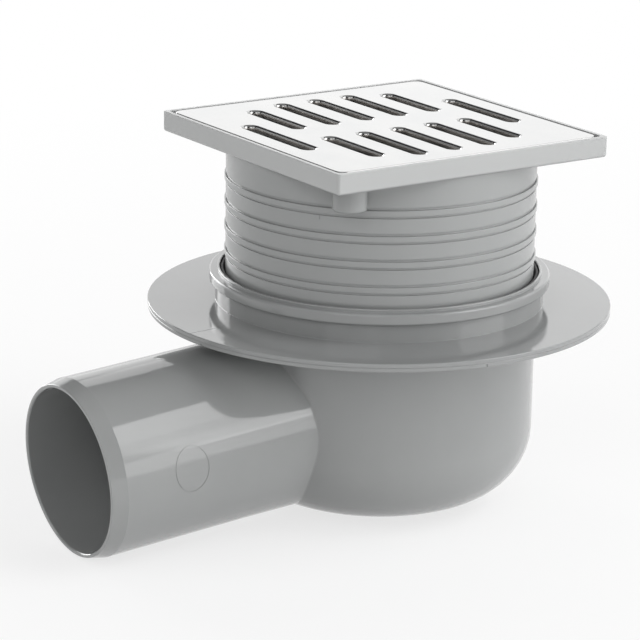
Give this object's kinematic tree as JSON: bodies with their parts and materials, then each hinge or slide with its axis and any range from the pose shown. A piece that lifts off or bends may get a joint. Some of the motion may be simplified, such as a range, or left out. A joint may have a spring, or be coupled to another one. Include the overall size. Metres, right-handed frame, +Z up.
{
  "type": "gully trap",
  "caption": "Floor gully with a dished bowl, round membrane flange, ringed neck that turns and draws up, square frame with a slotted steel grate, and a sloping side outlet.",
  "frame": {"origin": "centre of the flat foot under the bowl, on the surface the gully stands on", "axes": "+Z up along the bowl, collar and neck; -Y the side to which the outlet spigot runs, falling 3.8 degrees"},
  "size_m": [0.1468, 0.1879, 0.1222],
  "materials": {
    "body_plastic": "gloss moulded",
    "frame_plastic": "satin moulded",
    "grate_steel": "fine brushed",
    "seal_rubber": "matt",
    "trap_plastic": "satin moulded"
  },
  "bodies": {
    "gully": {"gully_body": "body_plastic", "trap_funnel": "trap_plastic", "trap_cup": "trap_plastic", "trap_seal": "seal_rubber"},
    "seal": {"neck_seal": "seal_rubber"},
    "neck": {"neck_frame": "frame_plastic", "grate": "grate_steel"}
  },
  "joints": [
    {"name": "neck_swivel", "type": "hinge", "parent": "gully", "child": "seal", "pos_m": [0, 0, 0.074], "axis": [0, 0, 1], "continuous": true},
    {"name": "neck_height", "type": "slide", "parent": "seal", "child": "neck", "axis": [0, 0, 1], "range_m": [0, 0.005]}
  ]
}
